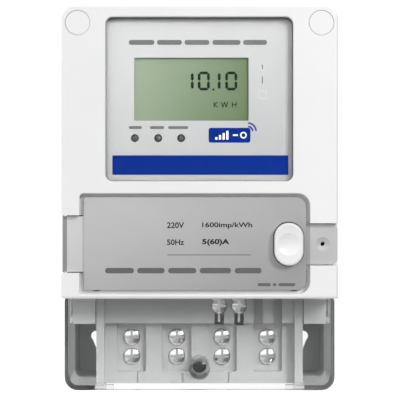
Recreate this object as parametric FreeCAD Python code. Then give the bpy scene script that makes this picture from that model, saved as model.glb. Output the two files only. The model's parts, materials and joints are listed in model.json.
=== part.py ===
"""Prepaid electricity meter, wall-mounted, single phase.

Frame: origin at the centre of the back face, +X to the right as seen from the front, +Z up, and the
wall on the +Y side. Depths are counted out from the wall, so a depth d lies at y = -d.
All lengths are in millimetres.
"""
import FreeCAD, Part
import os
from math import atan2, cos, pi, radians, sin, sqrt

from FreeCAD import Vector

# ---------------------------------------------------------------- driving dimensions
WIDTH = 112.4
HEIGHT = 157.0
DEPTH = 58.0
TOP = HEIGHT / 2
BOTTOM = -HEIGHT / 2
WALL = 2.2
TOUCH = 0.1

BACK_WALL = 2.5
SEAM = 24.0
GASKET_DEPTH = (22.4, 24.2)
TONGUE_TOP = 26.8
COVER_FRONT = 56.5
COVER_LOW = -40.7
COVER_CORNER = 5.6
BASE_STEP = 1.2
FACE_EDGE = 1.2
FRONT_SKIN = COVER_FRONT - WALL

POSTS = [(-49.4, 71.1), (49.4, 71.1), (-41.9, -34.0), (38.5, -34.0)]
POST_R = 4.2
POST_TOP = 26.9
WELL_FLOOR = 27.0
WELL_SHELF = 29.0
PLUG_R = 5.05
CASE_SCREW_R = 1.75

WINDOW_X = (-38.1, 37.95)
WINDOW_Z = (6.9, 73.5)
WINDOW_CORNER = 3.0
PLATE_DEPTH = (51.9, 52.7)
LENS_DEPTH = (53.7, 55.5)
DISPLAY_X = (-26.6, 20.0)
DISPLAY_Z = (31.6, 57.3)
GLASS_DEPTH = (49.3, 51.7)
LIGHT_X = (-26.3, -16.85, -7.5)
LIGHT_Z = 24.5
LIGHT_R = 1.5

BOARD = (31.4, 33.0)
BOARD_X = (-48.0, 48.0)
BOARD_Z = (-35.5, 71.5)
PILLARS = [(-44.0, 55.0), (44.0, 55.0), (-44.0, 0.0), (44.0, 0.0)]

RECESS_X = (-48.6, 44.8)
RECESS_Z = (-38.9, 1.9)
RECESS_FLOOR = (50.4, 52.2)
RECESS_CORNERS = (1.6, 5.0, 5.0, 0.8)
DOOR_X = (-47.1, 43.5)
DOOR_Z = (-37.4, 0.5)
DOOR_DEPTH = (52.6, 54.2)
BAY_X = (-36.5, 24.0)
BAY_Z = (-35.6, -1.4)
BAY_FLOOR = (34.4, 36.0)
HINGE_X = -54.2
HINGE_DEPTH = 52.0
NECK_DEPTH = (52.4, 53.8)
HINGE_Z = (-29.9, -7.3)
KNUCKLE_R = 1.8
HINGE_PIN_R = 0.8
SEAL_TAB_Z = (-26.9, -10.5)
SEAL_HOLE = (50.2, -18.6)

BUTTON_X = 36.2
BUTTON_Z = -18.6
BUTTON_SIZE = (11.7, 17.3)
STEM_R = 2.0
STEM_END = 41.0
FLANGE_DEPTH = (47.6, 50.35)
CAGE_FLOOR = (42.0, 43.4)

CLEAR_X = 55.2
CLEAR_FRONT = 51.5
CLEAR_WALL = 2.0
CLEAR_TOP = -40.95
TUBE_Z = -69.9
TUBE_R = 4.3
TUBE_BORE_R = 3.3
TUBE_END = 36.6
SEAL_SCREW_R = 1.5
SEAL_SCREW_HEAD = (38.2, 40.8)

BLOCK_X = 42.9
BLOCK_Z = (-77.6, -41.2)
RIB_DEPTH = 35.3
SIDE_DEPTH = 40.5
DECK_DEPTH = 39.2
DECK_LOW = -52.2
CHANNEL_FLOOR = 33.0
CHANNEL_LOW = -72.6
CHANNEL_WIDTH = 12.2
GROOVE_X = (-26.0, -7.0, 12.2)
TERMINAL_X = (-28.5, -9.5, 9.5, 28.5)
SCREW_Z = (-58.4, -66.5)
CLAMP_HEAD_R = 3.4
CLAMP_SHANK_R = 2.75
RUN_GAP = 0.05
CAGE_Z = (-70.6, -54.4)
CAGE_DEPTH = (10.0, 27.0)
CAGE_HALF = 5.0
WIRE_DEPTH = 16.0
WIRE_R = 3.9
ENTRY_R = 4.2
BAR_DEPTH = (11.0, 12.5)
BAR_HALF = 4.0
LINK_Z = (-49.4, -45.4)
BLOCK_SCREW_X = 19.0
BLOCK_SCREW_Z = -47.0
BLOCK_SCREW_R = 1.5
BLOCK_SCREW_TIP = 10.4

AUX_X = (8.2, 16.5)
AUX_Z = -44.9
AUX_HEAD_R = 3.08
SPARE_SLOT_X = (24.5, 32.6)
AUX_CAGE_DEPTH = (29.0, 36.6)
AUX_CAGE_HALF = 3.1
AUX_CAGE_Z = (-48.1, -41.6)
AUX_SHANK_R = 1.5

FIXING_X = 45.8
FIXING_Z = -61.0
FIXING_R = 2.3
FIXING_TIP = 5.7
HANGER_Z = 62.0
HANGER_R = 4.5
HANGER_SLOT_TOP = 68.0
HANGER_POCKET_X = (-5.5, 5.5)
HANGER_POCKET_Z = (57.0, 72.0)

RELAY_X = (-38.0, 0.0)
RELAY_Z = (-24.0, 6.0)
RELAY_TOP = 20.0
SHUNT_Z = (-35.0, -28.0)
LEAD_R = 0.6

CHIPS = {"metering": (-10.0, 13.5, 5.0, 11), "controller": (14.0, 15.0, 7.0, 15)}
CHIP_RISE = (0.1, 1.6)
CANS = ((-30.0, 28.0, 5.0, 13.0), (-17.0, 28.0, 5.0, 13.0), (-23.5, 42.0, 4.0, 18.0))
LIMB_X = (8.0, 34.0)
LIMB_Z = (-26.0, -4.0)
CORE_DEPTH = (12.0, 24.0)
BATTERY = (36.0, 40.6, 7.1)
BATTERY_Z = (31.0, 56.0)


# ---------------------------------------------------------------- shape helpers
def block(x, z, d):
    """Box over the spans x, z and depth d."""
    return Part.makeBox(x[1] - x[0], d[1] - d[0], z[1] - z[0], Vector(x[0], -d[1], z[0]))


def around(cx, cz, half_x, half_z, d):
    """Box centred on cx, cz."""
    return block((cx - half_x, cx + half_x), (cz - half_z, cz + half_z), d)


def rounded(x, z, d, corners):
    """Plate over x, z and depth d; corners are the radii top left, top right, low right, low left."""
    if not isinstance(corners, tuple):
        corners = (corners,) * 4
    spots = [(x[0], z[1], 1, -1), (x[1], z[1], -1, -1), (x[1], z[0], -1, 1), (x[0], z[0], 1, 1)]
    turns = []
    for (cx, cz, sx, sz), r in zip(spots, corners):
        centre = Vector(cx + sx * r, 0, cz + sz * r)
        side = Vector(cx, 0, cz + sz * r)
        end = Vector(cx + sx * r, 0, cz)
        middle = centre + Vector(-sx, 0, -sz) * (r * cos(pi / 4))
        points = (side, middle, end)
        turns.append(points if sx == -sz else points[::-1])
    edges = []
    for here, following in zip(turns, turns[1:] + turns[:1]):
        edges.append(Part.Arc(*here).toShape())
        edges.append(Part.makeLine(here[2], following[0]))
    face = Part.Face(Part.Wire(edges))
    face.translate(Vector(0, -d[0], 0))
    return face.extrude(Vector(0, d[0] - d[1], 0))


def disc(cx, cz, r, d):
    """Cylinder whose axis runs out from the wall."""
    return Part.makeCylinder(r, d[1] - d[0], Vector(cx, -d[0], cz), Vector(0, -1, 0))


def upright(cx, d, r, z):
    """Cylinder whose axis runs up."""
    return Part.makeCylinder(r, z[1] - z[0], Vector(cx, -d, z[0]), Vector(0, 0, 1))


def stadium(cx, cz, half_x, half_z, d):
    """Upright oblong with round ends."""
    return rounded((cx - half_x, cx + half_x), (cz - half_z, cz + half_z), d, half_x - 0.001)


def grow(span, by):
    """Span widened by the same amount at both ends."""
    return (span[0] - by, span[1] + by)


def join(*shapes):
    """Union with its seams removed."""
    return shapes[0].multiFuse(list(shapes[1:])).removeSplitter()


def front_edges(shape, depth):
    """Edges that lie wholly at one depth."""
    return [e for e in shape.Edges if all(abs(v.Y + depth) < 1e-4 for v in e.Vertexes)]


def edges_along(shape, axis):
    """Straight edges parallel to an axis, 0 for X, 1 for Y, 2 for Z."""
    picked = []
    for edge in shape.Edges:
        if len(edge.Vertexes) == 2 and edge.Curve.TypeId == "Part::GeomLine":
            run = edge.Vertexes[1].Point - edge.Vertexes[0].Point
            if abs(run[axis]) > 0.999 * run.Length:
                picked.append(edge)
    return picked


def domed_head(cx, cz, r, d, dome):
    """Screw head turned about its axis: domed top, rolled rim, and a cross slot."""
    ball_r = (r * r + dome * dome) / (2 * dome)
    ball_d = d[1] - ball_r
    rim = 0.13 * r
    rim_x = r - rim
    rise = sqrt((ball_r - rim) ** 2 - rim_x ** 2)
    rim_d = ball_d + rise
    lean = atan2(rise, rim_x)

    def on(out, depth):
        return at(cx + out, depth, cz)

    def on_rim(angle):
        return on(rim_x + rim * cos(angle), rim_d + rim * sin(angle))

    meet = on_rim(lean)
    half = (pi / 2 + lean) / 2
    crown = Part.Arc(meet, on(ball_r * cos(half), ball_d + ball_r * sin(half)), on(0, d[1]))
    roll = Part.Arc(on(r, rim_d), on_rim(lean / 2), meet)
    sides = Part.makePolygon([on(0, d[1]), on(0, d[0]), on(r, d[0]), on(r, rim_d)])
    profile = Part.Wire(sides.Edges + [roll.toShape(), crown.toShape()])
    head = Part.Face(profile).revolve(on(0, 0), Vector(0, 1, 0), 360)
    arm = 0.9 * r
    slot = 0.13 * r
    cut = (d[1] - 0.34 * r, d[1] + 1)
    return head.cut(join(around(cx, cz, arm, slot, cut), around(cx, cz, slot, arm, cut)))


def screw(cx, cz, head_r, head, dome, shank_r, tip):
    """Screw that points at the wall: head span, shank down to the tip depth."""
    shank = disc(cx, cz, shank_r, (tip, head[0] + 0.3))
    point = shank.makeChamfer(0.25 * shank_r, front_edges(shank, tip))
    return join(domed_head(cx, cz, head_r, head, dome), point)


def tube_path(points, radius, bend):
    """Round wire along straight runs joined by tangent arcs."""
    edges = []
    start = points[0]
    for before, corner, after in zip(points, points[1:], points[2:]):
        back = (before - corner).normalize()
        ahead = (after - corner).normalize()
        half = back.getAngle(ahead) / 2
        reach = bend * cos(half) / sin(half)
        entry = corner + back * reach
        leave = corner + ahead * reach
        bisector = (back + ahead).normalize()
        middle = corner + bisector * (bend / sin(half) - bend)
        edges.append(Part.makeLine(start, entry))
        edges.append(Part.Arc(entry, middle, leave).toShape())
        start = leave
    edges.append(Part.makeLine(start, points[-1]))
    way = (points[1] - points[0]).normalize()
    ring = Part.Wire([Part.makeCircle(radius, points[0], way)])
    return Part.Wire(edges).makePipeShell([ring], True, False)


def at(x, d, z):
    """Point at depth d."""
    return Vector(x, -d, z)


# ---------------------------------------------------------------- seal between base and cover
INNER_X = (-WIDTH / 2 + BASE_STEP + WALL, WIDTH / 2 - BASE_STEP - WALL)
INNER_Z = (COVER_LOW + WALL, TOP - BASE_STEP - WALL)


def seal_area(inset, d):
    """Inside of the seal loop: the base's inside, less a round for every post, drawn in by inset."""
    area = rounded(grow(INNER_X, -inset), grow(INNER_Z, -inset), d, (2.4, 2.4, 0.6, 0.6))
    rounds = [disc(x, z, POST_R + BASE_STEP + inset, grow(d, 1)) for x, z in POSTS]
    return area.cut(rounds)


def cover_gasket():
    around_it = seal_area(1.7, grow(GASKET_DEPTH, 1))
    return seal_area(0.2, GASKET_DEPTH).cut(around_it)


# ---------------------------------------------------------------- housing
def base_shell():
    outer = rounded((-WIDTH / 2 + BASE_STEP, WIDTH / 2 - BASE_STEP), (BOTTOM, TOP - BASE_STEP),
                    (0, SEAM), (4.6, 4.6, 5.0, 5.0))
    outer = outer.makeChamfer(0.8, front_edges(outer, 0))
    hollow = rounded(INNER_X, INNER_Z, (BACK_WALL, SEAM + 1), (2.4, 2.4, 0.6, 0.6))
    lower_x = grow(INNER_X, 0.4)
    lower = rounded(lower_x, (BOTTOM + WALL, COVER_LOW), (BACK_WALL, SEAM + 1), (0.6, 0.6, 3.0, 3.0))
    gate = BLOCK_X + 0.5
    way_out = block((-gate, gate), (BOTTOM - 1, BOTTOM + 8), (BACK_WALL, SEAM + 1))
    shell = outer.cut([hollow, lower, way_out])
    ledge = rounded(INNER_X, INNER_Z, (20, GASKET_DEPTH[0]), (2.4, 2.4, 0.6, 0.6))
    ledge = ledge.cut(seal_area(2.4, (19, 23)))
    solids = [ledge]
    for x, z in POSTS:
        solids.append(disc(x, z, POST_R, (BACK_WALL - TOUCH, POST_TOP)))
    for x, z in PILLARS:
        solids.append(disc(x, z, 3.0, (BACK_WALL - TOUCH, BOARD[0])))
    for side in (-1, 1):
        span = sorted((side * (BLOCK_X + 0.4), side * (lower_x[1] - 0.6)))
        solids.append(block(span, (DECK_LOW, DECK_LOW + 2.0), (BACK_WALL - TOUCH, SIDE_DEPTH)))
        solids.append(block(span, (DECK_LOW + 1.9, CLEAR_TOP), (SIDE_DEPTH - 2.0, SIDE_DEPTH)))
    pocket = rounded(grow(HANGER_POCKET_X, 2), grow(HANGER_POCKET_Z, 2), (BACK_WALL - TOUCH, 10.0), 2.0)
    shell = join(shell, pocket, *solids)
    cuts = [rounded(HANGER_POCKET_X, HANGER_POCKET_Z, (BACK_WALL, 8.0), 1.5)]
    cuts.append(disc(0, HANGER_Z, HANGER_R, (-1, BACK_WALL + 1)))
    cuts.append(block((-FIXING_R, FIXING_R), (HANGER_Z, HANGER_SLOT_TOP), (-1, BACK_WALL + 1)))
    cuts.append(disc(0, HANGER_SLOT_TOP, FIXING_R, (-1, BACK_WALL + 1)))
    for x, z in POSTS:
        cuts.append(disc(x, z, CASE_SCREW_R, (10.0, POST_TOP + 1)))
    for x, z in PILLARS:
        cuts.append(disc(x, z, 1.25, (22.0, BOARD[0] + 1)))
    for side in (-1, 1):
        cuts.append(fixing_hole(side * FIXING_X))
        cuts.append(disc(side * BLOCK_SCREW_X, BLOCK_SCREW_Z, 3.2, (-1, 1.4)))
        cuts.append(disc(side * BLOCK_SCREW_X, BLOCK_SCREW_Z, BLOCK_SCREW_R, (-1, BACK_WALL + 1)))
    for x in TERMINAL_X[:2]:
        cuts.append(block((x - 4.4, x + 4.4), (COVER_LOW - 1, COVER_LOW + WALL + 1), (10.6, 12.9)))
    return shell.cut(cuts)


def fixing_hole(x):
    """Teardrop hole through the back wall, its point downwards."""
    d = (-1, BACK_WALL + 1)
    half = radians(42)
    left = Vector(x - FIXING_R * sin(half), -d[0], FIXING_Z - FIXING_R * cos(half))
    right = Vector(x + FIXING_R * sin(half), -d[0], FIXING_Z - FIXING_R * cos(half))
    tip = Vector(x, -d[0], FIXING_Z - FIXING_TIP)
    core = Vector(x, -d[0], FIXING_Z)
    wedge = Part.Face(Part.makePolygon([left, core, right, tip, left]))
    return join(disc(x, FIXING_Z, FIXING_R, d), wedge.extrude(Vector(0, d[0] - d[1], 0)))


def front_cover():
    x = (-WIDTH / 2, WIDTH / 2)
    corners = (COVER_CORNER, COVER_CORNER, 0.8, 0.8)
    outer = rounded(x, (COVER_LOW, TOP), (SEAM, COVER_FRONT), corners)
    outer = outer.makeFillet(FACE_EDGE, front_edges(outer, COVER_FRONT))
    inner_x = grow(x, -WALL)
    inner_z = (COVER_LOW + WALL, TOP - WALL)
    inside = rounded(inner_x, inner_z, (SEAM - 1, FRONT_SKIN), (3.4, 3.4, 0.5, 0.5))
    shell = outer.cut(inside)

    floor = rounded(grow(RECESS_X, WALL), (COVER_LOW + 0.6, RECESS_Z[1] + WALL),
                    (RECESS_FLOOR[0], FRONT_SKIN + TOUCH), 0.8)
    tongue = rounded(inner_x, inner_z, (GASKET_DEPTH[1], TONGUE_TOP), (3.4, 3.4, 0.5, 0.5))
    tongue = tongue.cut(seal_area(2.1, (SEAM, TONGUE_TOP + 1)))
    bay = block(grow(BAY_X, 1.6), grow(BAY_Z, 1.6), (BAY_FLOOR[0], RECESS_FLOOR[0] + TOUCH))
    tab_pad = block((RECESS_X[1], x[1] - 1), grow(SEAL_TAB_Z, 2.2), (RECESS_FLOOR[0], FRONT_SKIN + TOUCH))
    hinge_pad = block((x[0] + 1, RECESS_X[0]), grow(HINGE_Z, 4.1), (48.4, FRONT_SKIN + TOUCH))
    guide = stadium(BUTTON_X, BUTTON_Z, 8.2, 11.0, (CAGE_FLOOR[0], RECESS_FLOOR[0] + TOUCH))
    boss = disc(*SEAL_HOLE, 3.2, (44.0, DOOR_DEPTH[0] - 0.1))
    solids = [floor, tongue, bay, tab_pad, hinge_pad, guide, boss]
    for px, pz in POSTS[:2]:
        solids.append(disc(px, pz, 6.3, (WELL_FLOOR, FRONT_SKIN + TOUCH)))
    for px, pz in POSTS[2:]:
        solids.append(disc(px, pz, 5.6, (WELL_FLOOR, RECESS_FLOOR[0] + TOUCH)))
    envelope = rounded(x, (COVER_LOW, TOP), (SEAM, COVER_FRONT), corners)
    shell = join(shell, *[s.common(envelope) for s in solids])

    cuts = [rounded(WINDOW_X, WINDOW_Z, (50, COVER_FRONT + 1), WINDOW_CORNER)]
    cuts.append(rounded(RECESS_X, RECESS_Z, (RECESS_FLOOR[1], COVER_FRONT + 1), RECESS_CORNERS))
    cuts.append(block(BAY_X, BAY_Z, (BAY_FLOOR[1], RECESS_FLOOR[1] + 1)))
    cuts.append(block((-21.5, 5.5), (-32.0, -26.0), (BAY_FLOOR[0] - 1, BAY_FLOOR[1] + 1)))
    cuts.append(block((RECESS_X[1] - 1, x[1] + 1), grow(SEAL_TAB_Z, 0.4), (DOOR_DEPTH[0] - 0.1, 60)))
    cuts.append(block((x[0] - 1, RECESS_X[0] + 1), grow(HINGE_Z, 0.4), (49.9, 60)))
    cuts.append(upright(HINGE_X, HINGE_DEPTH, HINGE_PIN_R, grow(HINGE_Z, 3.5)))
    cuts.append(stadium(BUTTON_X, BUTTON_Z, 7.3, 10.1, (CAGE_FLOOR[1], RECESS_FLOOR[0])))
    cuts.append(stadium(BUTTON_X, BUTTON_Z, BUTTON_SIZE[0] / 2 + 0.25, BUTTON_SIZE[1] / 2 + 0.25, (50, 53)))
    cuts.append(disc(BUTTON_X, BUTTON_Z, STEM_R + 0.3, (40, 44)))
    cuts.append(disc(*SEAL_HOLE, 0.9, (44.0, 60)))
    for px, pz in POSTS[:2]:
        cuts.append(disc(px, pz, PLUG_R + 0.1, (52.6, COVER_FRONT + 1)))
        cuts.append(disc(px, pz, 4.2, (WELL_SHELF, 53)))
    for px, pz in POSTS[2:]:
        cuts.append(disc(px, pz, 3.9, (WELL_SHELF, 53)))
    for px, pz in POSTS:
        cuts.append(disc(px, pz, CASE_SCREW_R + 0.3, (WELL_FLOOR - 1, WELL_SHELF + 1)))
        cuts.append(disc(px, pz, POST_R + 0.2, (24.0, WELL_FLOOR)))
    shell = shell.cut(cuts)
    soft = [e for e in front_edges(shell, COVER_FRONT) if in_opening(e)]
    return shell.makeFillet(0.5, soft)


def in_opening(edge):
    """True for the edges of the window and of the door recess in the cover's face."""
    box = edge.BoundBox
    window = box.ZMin > WINDOW_Z[0] - 1 and abs(box.Center.x) < WINDOW_X[1] + 1
    recess = box.ZMax < RECESS_Z[1] + 1 and box.ZMin > RECESS_Z[0] - 0.2 and in_recess_x(box)
    return window or recess


def in_recess_x(box):
    """True within the recess, away from the two tabs' gaps."""
    return box.XMin > RECESS_X[0] - 0.2 and box.XMax < RECESS_X[1] + 0.2


def screw_plugs():
    plugs = []
    for x, z in POSTS[:2]:
        plug = disc(x, z, PLUG_R, (53.0, COVER_FRONT - 0.1))
        plugs.append(plug.makeChamfer(0.3, front_edges(plug, COVER_FRONT - 0.1)))
    return Part.makeCompound(plugs)


def cover_screws():
    head = (WELL_SHELF, 31.6)
    return Part.makeCompound([screw(x, z, 3.5, head, 0.8, CASE_SCREW_R, 12.0) for x, z in POSTS])


# ---------------------------------------------------------------- window and display
def window_lens():
    near = (PLATE_DEPTH[1], LENS_DEPTH[1])
    body = rounded(grow(WINDOW_X, -0.15), grow(WINDOW_Z, -0.15), near, WINDOW_CORNER - 0.15)
    body = body.makeChamfer(0.4, front_edges(body, LENS_DEPTH[1]))
    flange = rounded(grow(WINDOW_X, 1.75), grow(WINDOW_Z, 1.75), (PLATE_DEPTH[1], FRONT_SKIN), WINDOW_CORNER)
    behind = (PLATE_DEPTH[1] - 1, LENS_DEPTH[0])
    hollow = rounded(grow(WINDOW_X, -0.4), grow(WINDOW_Z, -0.4), behind, WINDOW_CORNER - 0.4)
    return join(body, flange).cut(hollow)


def nameplate():
    plate = rounded(grow(WINDOW_X, 1.5), grow(WINDOW_Z, 1.5), PLATE_DEPTH, 2.5)
    through = grow(PLATE_DEPTH, 1)
    cuts = [rounded(DISPLAY_X, DISPLAY_Z, through, 0.4)]
    cuts += [disc(x, LIGHT_Z, LIGHT_R + 0.15, through) for x in LIGHT_X]
    return plate.cut(cuts)


def lcd_glass():
    x = (DISPLAY_X[0] - 2.7, DISPLAY_X[1] + 2.7)
    rear = block(x, (DISPLAY_Z[0] - 2.2, DISPLAY_Z[1] + 2.6), (GLASS_DEPTH[0], 50.5))
    fore = block(x, (DISPLAY_Z[0] - 0.8, DISPLAY_Z[1] + 2.6), (50.4, GLASS_DEPTH[1]))
    return join(rear, fore)


def lcd_frame():
    x = (DISPLAY_X[0] - 5.2, DISPLAY_X[1] + 5.1)
    z = (DISPLAY_Z[0] - 4.2, DISPLAY_Z[1] + 4.7)
    frame = rounded(x, z, (43.9, 51.8), 1.2)
    pocket = block(grow(DISPLAY_X, 2.8), (DISPLAY_Z[0] - 2.3, DISPLAY_Z[1] + 2.7), (45.4, 53))
    pin_slot = block((-24.0, 18.0), (28.0, DISPLAY_Z[0] - 2.2), (43, 53))
    legs = [disc(lx, lz, 1.6, (BOARD[1], 44)) for lx in grow(x, -2.4) for lz in grow(z, -2.4)]
    return join(frame, *legs).cut([pocket, pin_slot])


def lcd_backlight():
    x = (DISPLAY_X[0] - 2.5, DISPLAY_X[1] + 2.5)
    plate = block(x, (DISPLAY_Z[0] - 2.0, DISPLAY_Z[1] + 2.4), (45.5, 48.8))
    return plate.makeChamfer(0.4, front_edges(plate, 48.8))


def lcd_pins():
    pins = []
    for i in range(20):
        x = -21.0 + i * 2.0
        stem = around(x, 28.7, 0.2, 0.2, (BOARD[1], 49.3))
        foot = block((x - 0.2, x + 0.2), (28.5, 30.4), (48.9, GLASS_DEPTH[0]))
        pins.append(join(stem, foot))
    return Part.makeCompound(pins)


def status_leds():
    lamps = []
    for x in LIGHT_X:
        body = join(disc(x, LIGHT_Z, LIGHT_R, (45.5, 51.2)), Part.makeSphere(LIGHT_R, at(x, 51.2, LIGHT_Z)))
        legs = [disc(x + s * 0.64, LIGHT_Z, 0.25, (BOARD[1], 45.5)) for s in (-1, 1)]
        lamps.append(join(body, disc(x, LIGHT_Z, 1.9, (45.0, 46.0)), *legs))
    return Part.makeCompound(lamps)


def led_spacers():
    spacers = []
    for x in LIGHT_X:
        tube = disc(x, LIGHT_Z, 2.3, (BOARD[1], 45.0))
        spacers.append(tube.cut([disc(x + s * 0.64, LIGHT_Z, 0.3, (30, 50)) for s in (-1, 1)]))
    return Part.makeCompound(spacers)


# ---------------------------------------------------------------- electronics
def main_board():
    board = rounded(BOARD_X, BOARD_Z, BOARD, 1.5)
    through = grow(BOARD, 1)
    cuts = [disc(x, z, 7.2 if z > 0 else 6.2, through) for x, z in POSTS]
    cuts += [disc(x, z, 1.4, through) for x, z in PILLARS]
    return board.cut(cuts)


def board_screws():
    return Part.makeCompound([screw(x, z, 2.5, (BOARD[1], 34.9), 0.7, 1.25, 24.0) for x, z in PILLARS])


def chip(which):
    """Square chip body: place, half width and pins a side come from the table."""
    cx, cz, half, _ = CHIPS[which]
    low, high = (BOARD[1] + rise for rise in CHIP_RISE)
    body = around(cx, cz, half, half, (low, high))
    return body.makeChamfer(0.25, front_edges(body, high))


def metering_chip():
    return chip("metering")


def controller_chip():
    return chip("controller")


def chip_pins():
    pins = []
    for cx, cz, half, count in CHIPS.values():
        pitch = 2 * (half - 0.6) / (count - 1)
        d = (BOARD[1], BOARD[1] + 0.5)
        for i in range(count):
            t = -half + 0.6 + i * pitch
            for side in (-1, 1):
                pins.append(around(cx + side * (half + 0.5), cz + t, 0.5, 0.16, d))
                pins.append(around(cx + t, cz + side * (half + 0.5), 0.16, 0.5, d))
    return Part.makeCompound(pins)


def capacitors():
    cans = []
    for x, z, r, low in CANS:
        can = disc(x, z, r, (low, BOARD[0]))
        cans.append(can.makeFillet(0.7, front_edges(can, low)))
    return Part.makeCompound(cans)


def varistor():
    pill = Part.makeCylinder(7.0, 4.2, at(21.0, 22.5, 28.0), Vector(1, 0, 0))
    pill = pill.makeFillet(1.4, pill.Edges)
    legs = [disc(23.1, 28.0 + s * 3.0, 0.4, (26.0, BOARD[0])) for s in (-1, 1)]
    return join(pill, *legs)


def transformer_core():
    stack = block(LIMB_X, LIMB_Z, CORE_DEPTH)
    gap_z = grow(LIMB_Z, -4.8)
    windows = [block(x, gap_z, grow(CORE_DEPTH, 1)) for x in ((12.3, 16.6), (25.4, 29.7))]
    return stack.cut(windows)


def transformer_winding():
    coil = rounded(grow(LIMB_X, -4.5), grow(LIMB_Z, -5.4), (8.4, 27.6), 1.0)
    return coil.cut(block((16.6, 25.4), LIMB_Z, CORE_DEPTH))


def transformer_bobbin():
    seat = rounded((10.5, 31.5), (-24.0, -6.0), (27.6, 29.4), 0.8)
    feet = [around(x, z, 2.0, 1.2, (29.3, BOARD[0])) for x in (13.0, 29.0) for z in (-22.5, -7.5)]
    return join(seat, *feet)


def backup_battery():
    x, d, r = BATTERY
    foot, top = BATTERY_Z
    cell = upright(x, d, r, BATTERY_Z)
    cell = cell.makeFillet(0.8, cell.Edges)
    nub = upright(x, d, 2.4, (top - TOUCH, top + 1))
    tag = grow((x, x), 1.5)
    low = block(tag, (foot - 0.4, foot + 0.05), (BOARD[1], d + 1.4))
    high = block(tag, (top + 0.95, top + 1.4), (BOARD[1], d + 1.4))
    return join(cell, nub, low, high)


def lead_connector():
    return rounded((0.0, 12.0), (11.5, 17.5), (25.0, BOARD[0]), 0.6)


# ---------------------------------------------------------------- load circuit
def latching_relay():
    case = block(RELAY_X, RELAY_Z, (BACK_WALL, RELAY_TOP))
    return case.makeFillet(1.0, edges_along(case, 1) + front_edges(case, RELAY_TOP))


def relay_blades():
    return Part.makeCompound([bar(x, (SHUNT_Z[1], RELAY_Z[0])) for x in TERMINAL_X[:2]])


def bar(x, z):
    return block((x - BAR_HALF, x + BAR_HALF), z, BAR_DEPTH)


def busbar_phase_in():
    return bar(TERMINAL_X[0], (CAGE_Z[1], SHUNT_Z[0]))


def current_shunt():
    x = TERMINAL_X[0]
    return block((x - 3.4, x + 3.4), SHUNT_Z, BAR_DEPTH)


def busbar_phase_out():
    return bar(TERMINAL_X[1], (CAGE_Z[1], SHUNT_Z[1]))


def neutral_link():
    x3, x4 = TERMINAL_X[2:]
    cross = block((x3 - BAR_HALF, x4 + BAR_HALF), LINK_Z, BAR_DEPTH)
    legs = [bar(x, (CAGE_Z[1], LINK_Z[0] + TOUCH)) for x in (x3, x4)]
    return join(cross, *legs)


def terminal_cages():
    cages = []
    for x in TERMINAL_X:
        cage = block((x - CAGE_HALF, x + CAGE_HALF), CAGE_Z, CAGE_DEPTH)
        cage = cage.makeChamfer(0.5, edges_along(cage, 2))
        holes = [upright(x, WIRE_DEPTH, WIRE_R, grow(CAGE_Z, 1))]
        holes += [disc(x, z, CLAMP_SHANK_R + RUN_GAP, (WIRE_DEPTH, 28)) for z in SCREW_Z]
        cages.append(cage.cut(holes))
    return Part.makeCompound(cages)


def terminal_screw(x, z):
    return screw(x, z, CLAMP_HEAD_R, (31.5, 34.6), 0.9, CLAMP_SHANK_R, 20.2)


def aux_cages():
    cages = []
    for x in AUX_X:
        cage = block((x - AUX_CAGE_HALF, x + AUX_CAGE_HALF), AUX_CAGE_Z, AUX_CAGE_DEPTH)
        blade = block((x - 0.5, x + 0.5), (-51.8, AUX_CAGE_Z[0] + TOUCH), (30.0, AUX_CAGE_DEPTH[1]))
        cages.append(join(cage, blade).cut(disc(x, AUX_Z, AUX_SHANK_R + RUN_GAP, (28, 38))))
    return Part.makeCompound(cages)


def aux_screw(x):
    return screw(x, AUX_Z, AUX_HEAD_R, (37.2, 39.8), 0.8, AUX_SHANK_R, 31.0)


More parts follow.
